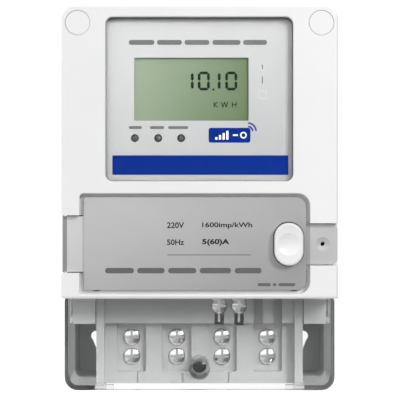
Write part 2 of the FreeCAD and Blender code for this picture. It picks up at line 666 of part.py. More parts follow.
def terminal_block():
    body = rounded((-BLOCK_X, BLOCK_X), BLOCK_Z, (BACK_WALL, RIB_DEPTH), 0.6)
    deck = block(grow((-BLOCK_X, BLOCK_X), -1), (DECK_LOW, BLOCK_Z[1]), (RIB_DEPTH - TOUCH, DECK_DEPTH))
    deck = deck.makeFillet(0.5, [e for e in front_edges(deck, DECK_DEPTH) if e.BoundBox.ZMax < DECK_LOW + 1])
    sides = []
    for side in (-1, 1):
        span = sorted((side * BLOCK_X, side * (BLOCK_X - 3.3)))
        sides.append(block(span, BLOCK_Z, (RIB_DEPTH - TOUCH, SIDE_DEPTH)))
    boss = disc(0, TUBE_Z, TUBE_R, (RIB_DEPTH - TOUCH, TUBE_END - 0.1))
    solid = join(body, deck, boss, *sides)
    cuts = [disc(0, TUBE_Z, SEAL_SCREW_R + RUN_GAP, (22, TUBE_END + 1))]
    for x in TERMINAL_X:
        half = CHANNEL_WIDTH / 2
        cuts.append(rounded((x - half, x + half), (CHANNEL_LOW, DECK_LOW), (CHANNEL_FLOOR, DECK_DEPTH),
                            (0.3, 0.3, 1.0, 1.0)))
        cuts.append(block((x - CAGE_HALF, x + CAGE_HALF), CAGE_Z, (BACK_WALL - 1, CAGE_DEPTH[1])))
        cuts.append(upright(x, WIRE_DEPTH, ENTRY_R, (BLOCK_Z[0] - 1, CAGE_Z[0] + 1)))
        cuts += [disc(x, z, CLAMP_HEAD_R + 0.15, (CAGE_DEPTH[1] - 1, RIB_DEPTH + 1)) for z in SCREW_Z]
        cuts.append(block((x - BAR_HALF, x + BAR_HALF), (CAGE_Z[1] - 1, BLOCK_Z[1] + 1), BAR_DEPTH))
    link_x = (TERMINAL_X[2] - BAR_HALF, TERMINAL_X[3] + BAR_HALF)
    cuts.append(block(link_x, (LINK_Z[0], BLOCK_Z[1] + 1), BAR_DEPTH))
    groove_z = (BLOCK_Z[0] - 1, CHANNEL_LOW - 0.4)
    for x in GROOVE_X:
        cuts.append(block((x - 0.2, x + 0.2), groove_z, (RIB_DEPTH - 1.2, RIB_DEPTH + 1)))
    cage_z = (AUX_CAGE_Z[0], BLOCK_Z[1] + 1)
    blade_z = (DECK_LOW - 1, AUX_CAGE_Z[0])
    for x in AUX_X:
        cuts.append(block((x - AUX_CAGE_HALF, x + AUX_CAGE_HALF), cage_z, AUX_CAGE_DEPTH))
        cuts.append(disc(x, AUX_Z, AUX_HEAD_R + 0.15, (36.5, DECK_DEPTH + 1)))
        cuts.append(block((x - 2.0, x + 2.0), blade_z, (AUX_CAGE_DEPTH[0], DECK_DEPTH + 1)))
    for x in SPARE_SLOT_X:
        cuts.append(block((x - 1.8, x + 1.8), (DECK_LOW - 1, BLOCK_Z[1] + 1), (RIB_DEPTH, DECK_DEPTH + 1)))
    thread = (BACK_WALL - 1, BLOCK_SCREW_TIP)
    for side in (-1, 1):
        cuts.append(disc(side * BLOCK_SCREW_X, BLOCK_SCREW_Z, BLOCK_SCREW_R, thread))
    return solid.cut(cuts)


def terminal_block_screws():
    screws = []
    z = BLOCK_SCREW_Z
    for x in (-BLOCK_SCREW_X, BLOCK_SCREW_X):
        head = disc(x, z, 3.0, (0.2, 1.4))
        slots = [around(x, z, 2.0, 0.35, (0, 0.9)), around(x, z, 0.35, 2.0, (0, 0.9))]
        screws.append(join(head, disc(x, z, BLOCK_SCREW_R, (1.3, BLOCK_SCREW_TIP))).cut(slots))
    return Part.makeCompound(screws)


# ---------------------------------------------------------------- leads inside the case
def coil_leads():
    leads = []
    for x, z in ((7.0, 3.0), (9.6, -1.0)):
        route = [at(RELAY_X[1], 12.0, z), at(x, 12.0, z), at(x, 12.0, 14.5), at(x, 25.0, 14.5)]
        leads.append(tube_path(route, LEAD_R, 3.0))
    return Part.makeCompound(leads)


def sense_leads():
    leads = []
    for x, z in ((2.2, -29.5), (4.4, -33.0)):
        route = [at(TERMINAL_X[0], BAR_DEPTH[1], z), at(TERMINAL_X[0], 21.4, z), at(x, 21.4, z)]
        route += [at(x, 21.4, 14.5), at(x, 25.0, 14.5)]
        leads.append(tube_path(route, LEAD_R, 2.4))
    return Part.makeCompound(leads)


# ---------------------------------------------------------------- communications module
MODULE_DEPTH = (37.8, 50.8)
MODULE_WALL = 1.4
MODULE_X = grow(BAY_X, -0.8)
MODULE_Z = grow(BAY_Z, -0.8)
HEADER_X = (-20.0, 4.0)
HEADER_Z = (-31.0, -27.0)
SOCKET_TOP = 37.4
PIN_Z = -29.0
PIN_X = [-17.0 + 2.54 * i for i in range(8)]


def comm_module_case():
    case = rounded(MODULE_X, MODULE_Z, MODULE_DEPTH, 1.5)
    case = case.makeFillet(0.7, front_edges(case, MODULE_DEPTH[1]))
    inside = [grow(span, -MODULE_WALL) for span in (MODULE_X, MODULE_Z, MODULE_DEPTH)]
    hollow = rounded(*inside, 0.6)
    slot = block(grow(HEADER_X, 0.1), grow(HEADER_Z, 0.1), (37, 40))
    grips = [disc(x, MODULE_Z[0] - 3.5, 6.0, (44.0, 52)) for x in (-26.0, 13.0)]
    return case.cut([hollow, slot] + grips)


def comm_module_board():
    board = block(grow(MODULE_X, -1.9), grow(MODULE_Z, -3.2), (41.0, 42.2))
    parts = [around(-8.0, -12.0, 8.0, 6.5, (42.1, 44.6)), around(12.0, -14.0, 4.0, 4.0, (42.1, 43.4))]
    return join(board, *parts)


def comm_module_header():
    strip = block(HEADER_X, HEADER_Z, (SOCKET_TOP, 41.0))
    return join(strip, *[disc(x, PIN_Z, 0.32, (34.2, SOCKET_TOP + TOUCH)) for x in PIN_X])


def module_socket():
    body = block(HEADER_X, HEADER_Z, (BOARD[1], SOCKET_TOP))
    return body.cut([disc(x, PIN_Z, 0.36, (34.0, SOCKET_TOP + 1)) for x in PIN_X])


def module_antenna():
    coil = Part.makeHelix(1.5, 12.0, 1.8)
    coil.rotate(Vector(0, 0, 0), Vector(0, 1, 0), 90)
    coil.translate(at(5.0, 44.5, -7.4))
    ring = Part.Wire([Part.makeCircle(0.3, at(5.0, 44.5, -9.2), Vector(0, 1, 0))])
    return coil.makePipeShell([ring], True, True)


# ---------------------------------------------------------------- button and switch
def push_button():
    half_x, half_z = (s / 2 for s in BUTTON_SIZE)
    cap = stadium(BUTTON_X, BUTTON_Z, half_x, half_z, (49.0, DEPTH))
    cap = cap.makeFillet(1.0, front_edges(cap, DEPTH))
    dish = Part.makeSphere(12.0, at(BUTTON_X, DEPTH + 11.1, BUTTON_Z))
    flange = stadium(BUTTON_X, BUTTON_Z, half_x + 1.15, half_z + 1.15, FLANGE_DEPTH)
    stem = disc(BUTTON_X, BUTTON_Z, STEM_R, (STEM_END, 49.0))
    return join(cap, flange, stem).cut(dish)


def button_spring():
    coil = Part.makeHelix(1.15, 3.45, 3.3)
    coil.rotate(Vector(0, 0, 0), Vector(1, 0, 0), 90)
    seat = CAGE_FLOOR[1] + 0.36
    coil.translate(at(BUTTON_X, seat, BUTTON_Z))
    ring = Part.Wire([Part.makeCircle(0.3, at(BUTTON_X + 3.3, seat, BUTTON_Z), Vector(0, 0, 1))])
    return coil.makePipeShell([ring], True, True)


def switch_body():
    body = around(BUTTON_X, BUTTON_Z, 4.25, 4.25, (BOARD[1], 38.2))
    body = body.makeChamfer(0.4, edges_along(body, 1))
    return body.cut(disc(BUTTON_X, BUTTON_Z, 2.4 + RUN_GAP, (35.0, 39)))


def switch_plunger():
    stem = disc(BUTTON_X, BUTTON_Z, 2.4, (36.6, STEM_END))
    return stem.makeChamfer(0.3, front_edges(stem, 36.6))


# ---------------------------------------------------------------- module door
def module_door():
    plate = rounded(DOOR_X, DOOR_Z, DOOR_DEPTH, (1.0, 3.7, 3.7, 0.8))
    plate = plate.makeFillet(0.35, front_edges(plate, DOOR_DEPTH[1]))
    tab_depth = (DOOR_DEPTH[0], NECK_DEPTH[1])
    tab = rounded((DOOR_X[1] - 4, WIDTH / 2), SEAL_TAB_Z, tab_depth, (0.2, 2.4, 2.4, 0.2))
    neck = block((HINGE_X, DOOR_X[0] + 1), HINGE_Z, NECK_DEPTH)
    knuckle = upright(HINGE_X, HINGE_DEPTH, KNUCKLE_R, HINGE_Z)
    rim = block(grow(BAY_X, -0.7), grow(BAY_Z, -0.7), (51.3, DOOR_DEPTH[0] + TOUCH))
    rim = rim.cut(block(grow(BAY_X, -1.9), grow(BAY_Z, -1.9), (50, 54)))
    cuts = [upright(HINGE_X, HINGE_DEPTH, HINGE_PIN_R + RUN_GAP, grow(HINGE_Z, 1))]
    cuts.append(stadium(BUTTON_X, BUTTON_Z, BUTTON_SIZE[0] / 2 + 0.5, BUTTON_SIZE[1] / 2 + 0.5, (50, 56)))
    cuts.append(disc(*SEAL_HOLE, 1.1, (50, 56)))
    sunk = Part.makeCone(2.9, 1.1, 1.1, at(SEAL_HOLE[0], NECK_DEPTH[1], SEAL_HOLE[1]), Vector(0, 1, 0))
    cuts.append(sunk)
    return join(plate, tab, neck, knuckle, rim).cut(cuts)


def door_hinge_pin():
    return upright(HINGE_X, HINGE_DEPTH, HINGE_PIN_R, grow(HINGE_Z, 3.5))


# ---------------------------------------------------------------- terminal cover
def terminal_cover():
    x = (-CLEAR_X, CLEAR_X)
    outer = rounded(x, (BOTTOM, CLEAR_TOP), (SEAM + 0.1, CLEAR_FRONT), (0.8, 0.8, 5.5, 5.5))
    outer = outer.makeFillet(0.8, front_edges(outer, CLEAR_FRONT))
    skin = CLEAR_FRONT - CLEAR_WALL
    inside_z = (BOTTOM + CLEAR_WALL, CLEAR_TOP + 1)
    inside = rounded(grow(x, -CLEAR_WALL), inside_z, (SEAM, skin), (0.1, 0.1, 3.5, 3.5))
    low = (BOTTOM - 1, BOTTOM + CLEAR_WALL + 1)
    steps = ((BLOCK_X + 0.4, SEAM, 41.0), (38.6, 40.9, 46.0), (35.2, 45.9, skin))
    gates = [block((-half, half), low, (near, far)) for half, near, far in steps]
    tube = disc(0, TUBE_Z, TUBE_R, (TUBE_END, skin + TOUCH))
    shell = join(outer.cut([inside] + gates), tube)
    bore = disc(0, TUBE_Z, TUBE_BORE_R, (SEAL_SCREW_HEAD[0], 60))
    return shell.cut([bore, disc(0, TUBE_Z, SEAL_SCREW_R + RUN_GAP, (30, 40))])


def terminal_cover_screw():
    return screw(0, TUBE_Z, 2.9, SEAL_SCREW_HEAD, 0.7, SEAL_SCREW_R, 24.0)


# ---------------------------------------------------------------- export
NODES = [
    base_shell, front_cover, cover_gasket, screw_plugs, cover_screws, window_lens, nameplate, lcd_glass,
    lcd_frame, lcd_backlight, lcd_pins, status_leds, led_spacers, main_board, board_screws, metering_chip,
    controller_chip, chip_pins, capacitors, varistor, transformer_core, transformer_winding,
    transformer_bobbin, backup_battery, lead_connector, latching_relay, relay_blades, busbar_phase_in,
    current_shunt, busbar_phase_out, neutral_link, terminal_cages, aux_cages,
    terminal_block, terminal_block_screws, coil_leads, sense_leads, comm_module_case, comm_module_board,
    comm_module_header, module_socket, module_antenna, push_button, button_spring, switch_body,
    switch_plunger, module_door, door_hinge_pin, terminal_cover, terminal_cover_screw,
]


def main():
    os.makedirs("parts", exist_ok=True)
    shapes = {make.__name__: make() for make in NODES}
    spots = [(x, z) for x in TERMINAL_X for z in SCREW_Z]
    for number, (x, z) in enumerate(spots, start=1):
        shapes[f"terminal_screw_{number}"] = terminal_screw(x, z)
    for number, x in enumerate(AUX_X, start=1):
        shapes[f"aux_screw_{number}"] = aux_screw(x)
    for name, shape in shapes.items():
        shape.exportStep(f"parts/{name}.step")
        print(name, "solids", len(shape.Solids), "valid", shape.isValid(), "mm3", round(shape.Volume, 1))


main()
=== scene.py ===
"""Looks of the prepaid electricity meter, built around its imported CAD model.

Places and lengths are metres in the model's frame: +X right as seen from the front, +Z up, and the
front faces -Y. Outlines, and values whose names end in _mm or _MM, are millimetres in that frame.
"""

import json
from math import cos, pi, radians, sin, tan

import bmesh
import bpy
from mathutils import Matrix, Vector


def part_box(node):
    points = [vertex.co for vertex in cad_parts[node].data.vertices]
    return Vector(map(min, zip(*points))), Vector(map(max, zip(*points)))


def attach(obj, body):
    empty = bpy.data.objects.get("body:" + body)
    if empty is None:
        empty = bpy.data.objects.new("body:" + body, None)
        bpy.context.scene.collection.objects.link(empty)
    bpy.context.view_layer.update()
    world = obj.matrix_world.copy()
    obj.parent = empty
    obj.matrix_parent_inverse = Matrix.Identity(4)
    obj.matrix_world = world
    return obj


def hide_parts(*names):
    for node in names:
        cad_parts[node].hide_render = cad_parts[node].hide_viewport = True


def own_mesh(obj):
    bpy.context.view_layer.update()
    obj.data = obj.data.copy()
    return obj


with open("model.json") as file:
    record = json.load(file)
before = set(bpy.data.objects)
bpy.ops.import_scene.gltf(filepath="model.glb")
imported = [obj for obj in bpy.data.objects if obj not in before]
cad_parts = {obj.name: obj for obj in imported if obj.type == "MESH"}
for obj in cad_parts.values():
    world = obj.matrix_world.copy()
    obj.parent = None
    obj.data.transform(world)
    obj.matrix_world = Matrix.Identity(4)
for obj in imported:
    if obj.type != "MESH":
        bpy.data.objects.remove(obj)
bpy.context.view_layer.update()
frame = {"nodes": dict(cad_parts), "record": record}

MM = 0.001

# ---------------------------------------------------------------- places read from the frame
PLATE_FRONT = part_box("nameplate")[0].y
GLASS_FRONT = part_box("lcd_glass")[0].y
DOOR_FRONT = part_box("module_door")[0].y
COVER_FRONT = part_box("front_cover")[0].y

# An ink stands proud of its surface and reaches a little way into it, so that no two faces coincide.
INK_LIFT = 0.04 * MM
INK_SINK = 0.01 * MM


# ---------------------------------------------------------------- camera, light and floor
def make_camera():
    """Straight on, at the distance where the near case and the far wall keep the right proportion."""
    stand_off = 0.56
    aside = 0.0002
    height = -0.0007
    view_angle = radians(16.45)
    data = bpy.data.cameras.new("view_camera")
    data.sensor_width = 36.0
    data.lens = data.sensor_width / 2 / tan(view_angle / 2)
    data.clip_start = 0.01
    data.clip_end = 50.0
    camera = bpy.data.objects.new("view_camera", data)
    camera.location = (aside, COVER_FRONT - stand_off, height)
    camera.rotation_euler = (pi / 2, 0.0, 0.0)
    bpy.context.scene.collection.objects.link(camera)
    bpy.context.scene.camera = camera


def make_world():
    """A studio that is white behind the meter, and in front of it grey, lighter to the upper left.

    Only reflections see the wide softbox overhead. The backdrop past the object is nowhere dark.
    """
    upper_left = (-0.85, 0.0, 0.53)
    front_greys = (0.10, 1.12)
    white_behind = 0.62
    softbox_glow = 0.9
    darkest_backdrop = 0.5
    world = bpy.data.worlds.new("studio")
    bpy.context.scene.world = world
    world.use_nodes = True
    nodes = world.node_tree.nodes
    links = world.node_tree.links
    nodes.clear()

    def spread(value, span, to):
        """Value from one span eased into another."""
        node = nodes.new("ShaderNodeMapRange")
        node.interpolation_type = "SMOOTHSTEP"
        for socket, number in zip(("From Min", "From Max", "To Min", "To Max"), (*span, *to)):
            node.inputs[socket].default_value = number
        links.new(value, node.inputs["Value"])
        return node.outputs["Result"]

    def combined(operation, first, second):
        node = nodes.new("ShaderNodeMath")
        node.operation = operation
        links.new(first, node.inputs[0])
        links.new(second, node.inputs[1])
        return node.outputs[0]

    direction = nodes.new("ShaderNodeTexCoord").outputs["Generated"]
    parts = nodes.new("ShaderNodeSeparateXYZ")
    links.new(direction, parts.inputs[0])
    slope = nodes.new("ShaderNodeVectorMath")
    slope.operation = "DOT_PRODUCT"
    slope.inputs[1].default_value = upper_left
    links.new(direction, slope.inputs[0])
    ray = nodes.new("ShaderNodeLightPath")

    front = spread(slope.outputs["Value"], (-0.8, 0.8), front_greys)
    behind = spread(parts.outputs["Y"], (0.1, 0.7), (0.0, white_behind))
    overhead = spread(parts.outputs["Z"], (0.10, 0.22), (0.0, softbox_glow))
    softbox = combined("MULTIPLY", overhead, ray.outputs["Is Glossy Ray"])
    backdrop = spread(ray.outputs["Is Camera Ray"], (0.0, 1.0), (0.0, darkest_backdrop))
    light = combined("ADD", combined("ADD", front, behind), softbox)

    sky = nodes.new("ShaderNodeBackground")
    sky.inputs["Color"].default_value = (1.0, 1.0, 1.0, 1.0)
    links.new(combined("MAXIMUM", light, backdrop), sky.inputs["Strength"])
    out = nodes.new("ShaderNodeOutputWorld")
    links.new(sky.outputs[0], out.inputs["Surface"])


def area_light(name, place, size, power):
    """A round lamp that points at the middle of the meter's back face."""
    data = bpy.data.lights.new(name, "AREA")
    data.shape = "DISK"
    data.size = size
    data.energy = power
    lamp = bpy.data.objects.new(name, data)
    lamp.location = place
    lamp.rotation_euler = (-lamp.location).to_track_quat("-Z", "Y").to_euler()
    bpy.context.scene.collection.objects.link(lamp)


def make_light():
    area_light("key", place=(0.66, -0.96, 0.53), size=0.34, power=8.3)
    area_light("soft_back", place=(-0.5, 0.9, 0.6), size=0.8, power=8.0)


def make_floor():
    """A pale floor, far enough down for the meter to hang at its height on a wall."""
    half_size = 1.2
    depth_below = 1.5
    mesh = bmesh.new()
    bmesh.ops.create_grid(mesh, x_segments=24, y_segments=24, size=half_size)
    data = bpy.data.meshes.new("floor")
    mesh.to_mesh(data)
    mesh.free()
    data.materials.append(plain("floor_paint", grey(0.82), 0.7, 40.0, 0.0))
    floor = bpy.data.objects.new("floor", data)
    floor.location = (0.0, 0.0, -depth_below)
    bpy.context.scene.collection.objects.link(floor)


# ---------------------------------------------------------------- colours and node helpers
def grey(level):
    return (level, level, level)


def shade(colour, by):
    return tuple(min(1.0, c * by) for c in colour)


def new_material(name):
    material = bpy.data.materials.new(name)
    material.use_nodes = True
    tree = material.node_tree
    tree.nodes.clear()
    return material, tree


def shader(tree, metallic=0.0, coat=0.0, specular=0.5):
    node = tree.nodes.new("ShaderNodeBsdfPrincipled")
    node.inputs["Metallic"].default_value = metallic
    node.inputs["IOR"].default_value = 1.46
    node.inputs["Specular IOR Level"].default_value = specular
    node.inputs["Coat Weight"].default_value = coat
    node.inputs["Coat Roughness"].default_value = 0.12
    out = tree.nodes.new("ShaderNodeOutputMaterial")
    tree.links.new(node.outputs[0], out.inputs["Surface"])
    return node


def place_on_piece(tree):
    """Coordinates fixed to the piece, in metres."""
    return tree.nodes.new("ShaderNodeTexCoord").outputs["Object"]


def noise(tree, grain_mm, detail=3.0, stretch=(1.0, 1.0, 1.0)):
    """Noise whose grains are about this many millimetres across, fixed to the piece."""
    mapping = tree.nodes.new("ShaderNodeMapping")
    texture = tree.nodes.new("ShaderNodeTexNoise")
    mapping.inputs["Scale"].default_value = stretch
    texture.inputs["Scale"].default_value = 1.0 / (grain_mm * MM)
    texture.inputs["Detail"].default_value = detail
    tree.links.new(place_on_piece(tree), mapping.inputs[0])
    tree.links.new(mapping.outputs[0], texture.inputs["Vector"])
    return texture.outputs["Fac"]


def spread_over(tree, source, span, to):
    """Source from one span to another, and no further."""
    node = tree.nodes.new("ShaderNodeMapRange")
    for socket, number in zip(("From Min", "From Max", "To Min", "To Max"), (*span, *to)):
        node.inputs[socket].default_value = number
    tree.links.new(source, node.inputs["Value"])
    return node.outputs["Result"]


# Most of a noise's values lie in this span.
NOISE_SPAN = (0.3, 0.7)


def ranged(tree, source, low, high):
    """A noise spread over low to high."""
    return spread_over(tree, source, NOISE_SPAN, (low, high))


def along(tree, direction, span_mm):
    """0 to 1 along a direction through the piece, in millimetres from the origin."""
    dot = tree.nodes.new("ShaderNodeVectorMath")
    dot.operation = "DOT_PRODUCT"
    dot.inputs[1].default_value = direction
    tree.links.new(place_on_piece(tree), dot.inputs[0])
    span = [end * MM for end in span_mm]
    return spread_over(tree, dot.outputs["Value"], span, (0.0, 1.0))


def ramp_of(tree, source, stops, stepped=False):
    """Colour ramp over source with (place, colour) stops."""
    ramp = tree.nodes.new("ShaderNodeValToRGB")
    band = ramp.color_ramp
    band.interpolation = "CONSTANT" if stepped else "LINEAR"
    while len(band.elements) < len(stops):
        band.elements.new(0.5)
    for element, (place, colour) in zip(band.elements, stops):
        element.position = place
        element.color = (*colour, 1.0)
    tree.links.new(source, ramp.inputs["Fac"])
    return ramp.outputs["Color"]


def tinted(tree, source, first, second):
    """A noise turned into a colour between two tints."""
    return ramp_of(tree, source, tuple(zip(NOISE_SPAN, (first, second))))


def times(tree, first, second):
    """Product of two colours."""
    mix = tree.nodes.new("ShaderNodeMix")
    mix.data_type = "RGBA"
    mix.blend_type = "MULTIPLY"
    mix.inputs["Factor"].default_value = 1.0
    tree.links.new(first, mix.inputs["A"])
    tree.links.new(second, mix.inputs["B"])
    return mix.outputs["Result"]


def bumped(tree, source, depth_mm):
    bump = tree.nodes.new("ShaderNodeBump")
    bump.inputs["Strength"].default_value = 1.0
    bump.inputs["Distance"].default_value = depth_mm * MM
    tree.links.new(source, bump.inputs["Height"])
    return bump.outputs["Normal"]


# ---------------------------------------------------------------- kinds of material
def surface(tree, node, tone, blotches, rough, grain_mm, depth_mm):
    """Gives a shader its tone, a gloss that varies with the blotches, and a fine grain."""
    tree.links.new(tone, node.inputs["Base Color"])
    tree.links.new(ranged(tree, blotches, rough - 0.05, rough + 0.05), node.inputs["Roughness"])
    tree.links.new(bumped(tree, noise(tree, grain_mm, 2.0), depth_mm), node.inputs["Normal"])


def plain(name, colour, rough, blotch_mm, spread, grain_mm=0.5, depth_mm=0.004, coat=0.0, specular=0.5):
    """Moulded plastic or paint: soft blotches of tone and gloss, and a fine surface grain."""
    material, tree = new_material(name)
    node = shader(tree, coat=coat, specular=specular)
    blotches = noise(tree, blotch_mm)
    tone = tinted(tree, blotches, shade(colour, 1 - spread), shade(colour, 1 + spread))
    surface(tree, node, tone, blotches, rough, grain_mm, depth_mm)
    return material


# The scale on which the steps across a graded material lie, wider than the meter.
ACROSS_MM = (-60.0, 60.0)


def graded(name, direction, span_mm, colours, rough, blotch_mm, spread, steps=(), specular=0.5):
    """Plastic or print whose tone goes from one colour to another along a direction; the meter's graded
    materials use this slope for painted light and shade.

    Each step is (x_mm, factor), and multiplies the tone from that x on.
    """
    material, tree = new_material(name)
    node = shader(tree, specular=specular)
    slope = ramp_of(tree, along(tree, direction, span_mm), tuple(zip((0.0, 1.0), colours)))
    blotches = noise(tree, blotch_mm)
    tone = times(tree, slope, tinted(tree, blotches, grey(1 - spread), grey(1.0)))
    if steps:
        across = along(tree, (1.0, 0.0, 0.0), ACROSS_MM)
        width_mm = ACROSS_MM[1] - ACROSS_MM[0]
        stops = [((x_mm - ACROSS_MM[0]) / width_mm, grey(factor)) for x_mm, factor in steps]
        tone = times(tree, tone, ramp_of(tree, across, stops, stepped=True))
    surface(tree, node, tone, blotches, rough, grain_mm=0.5, depth_mm=0.003)
    return material


def clear(name, colour, rough, ior, density=0.0):
    """Clear moulded plastic that lets the lamps through; density darkens what is seen along its walls."""
    material, tree = new_material(name)
    node = tree.nodes.new("ShaderNodeBsdfPrincipled")
    node.inputs["Base Color"].default_value = (*colour, 1.0)
    node.inputs["Transmission Weight"].default_value = 1.0
    node.inputs["IOR"].default_value = ior
    tree.links.new(ranged(tree, noise(tree, 9.0), rough, rough + 0.03), node.inputs["Roughness"])
    tree.links.new(bumped(tree, noise(tree, 14.0, 1.0), 0.01), node.inputs["Normal"])
    through = tree.nodes.new("ShaderNodeBsdfTransparent")
    through.inputs["Color"].default_value = (*shade(colour, 0.96), 1.0)
    ray = tree.nodes.new("ShaderNodeLightPath")
    mix = tree.nodes.new("ShaderNodeMixShader")
    out = tree.nodes.new("ShaderNodeOutputMaterial")
    tree.links.new(ray.outputs["Is Shadow Ray"], mix.inputs[0])
    tree.links.new(node.outputs[0], mix.inputs[1])
    tree.links.new(through.outputs[0], mix.inputs[2])
    tree.links.new(mix.outputs[0], out.inputs["Surface"])
    if density:
        inside = tree.nodes.new("ShaderNodeVolumeAbsorption")
        inside.inputs["Color"].default_value = (0.04, 0.06, 0.06, 1.0)
        inside.inputs["Density"].default_value = density
        tree.links.new(inside.outputs[0], out.inputs["Volume"])
    return material


def metal(name, colour, rough, stretch=(1.0, 1.0, 1.0), tarnish=0.12):
    """Metal with fine drawn or turned marks and a little tarnish."""
    material, tree = new_material(name)
    node = shader(tree, metallic=1.0)
    blotches = noise(tree, 3.0)
    marks = noise(tree, 0.35, 4.0, stretch)
    tree.links.new(tinted(tree, blotches, shade(colour, 1 - tarnish), colour), node.inputs["Base Color"])
    tree.links.new(ranged(tree, marks, rough * 0.7, rough * 1.4), node.inputs["Roughness"])
    tree.links.new(bumped(tree, marks, 0.003), node.inputs["Normal"])
    return material


def board(name, colour, track):
    """Circuit board: solder mask with faint tracks under it."""
    material, tree = new_material(name)
    node = shader(tree, coat=0.3)
    turn = tree.nodes.new("ShaderNodeMapping")
    turn.inputs["Rotation"].default_value = (pi / 2, 0.0, 0.0)
    bricks = tree.nodes.new("ShaderNodeTexBrick")
    bricks.inputs["Scale"].default_value = 260.0
    bricks.inputs["Mortar Size"].default_value = 0.06
    bricks.inputs["Color1"].default_value = (*colour, 1.0)
    bricks.inputs["Color2"].default_value = (*shade(colour, 0.85), 1.0)
    bricks.inputs["Mortar"].default_value = (*track, 1.0)
    tree.links.new(place_on_piece(tree), turn.inputs[0])
    tree.links.new(turn.outputs[0], bricks.inputs["Vector"])
    tree.links.new(bricks.outputs["Color"], node.inputs["Base Color"])
    tree.links.new(bumped(tree, bricks.outputs["Fac"], 0.03), node.inputs["Normal"])
    tree.links.new(ranged(tree, noise(tree, 4.0), 0.28, 0.42), node.inputs["Roughness"])
    return material


def laminated(name, colour, layer_mm):
    """Stacked steel sheets, seen edge on."""
    material, tree = new_material(name)
    node = shader(tree, metallic=0.9)
    waves = tree.nodes.new("ShaderNodeTexWave")
    waves.bands_direction = "Y"
    waves.inputs["Scale"].default_value = 0.3 / (layer_mm * MM)
    tree.links.new(place_on_piece(tree), waves.inputs["Vector"])
    tree.links.new(tinted(tree, waves.outputs["Fac"], shade(colour, 0.5), colour), node.inputs["Base Color"])
    tree.links.new(bumped(tree, waves.outputs["Fac"], 0.05), node.inputs["Normal"])
    tree.links.new(ranged(tree, noise(tree, 1.0), 0.4, 0.6), node.inputs["Roughness"])
    return material


# ---------------------------------------------------------------- the meter's materials
DOWN = (0.0, 0.0, -1.0)
COVER_WHITE = (0.815, 0.817, 0.817)
# Tones of the door across its width: hinge roll, left tab, plate, right tab. The hinge roll's dark tone is
# painted shade.
DOOR_STEPS = ((-60.0, 0.42), (-54.3, 1.0), (-48.0, 0.84), (44.8, 1.27))
# Tones of the display from its upper left to its lower right: a painted sheen, lighter at the upper left.
DISPLAY_SHEEN_GREENS = ((0.250, 0.305, 0.220), (0.088, 0.135, 0.060))

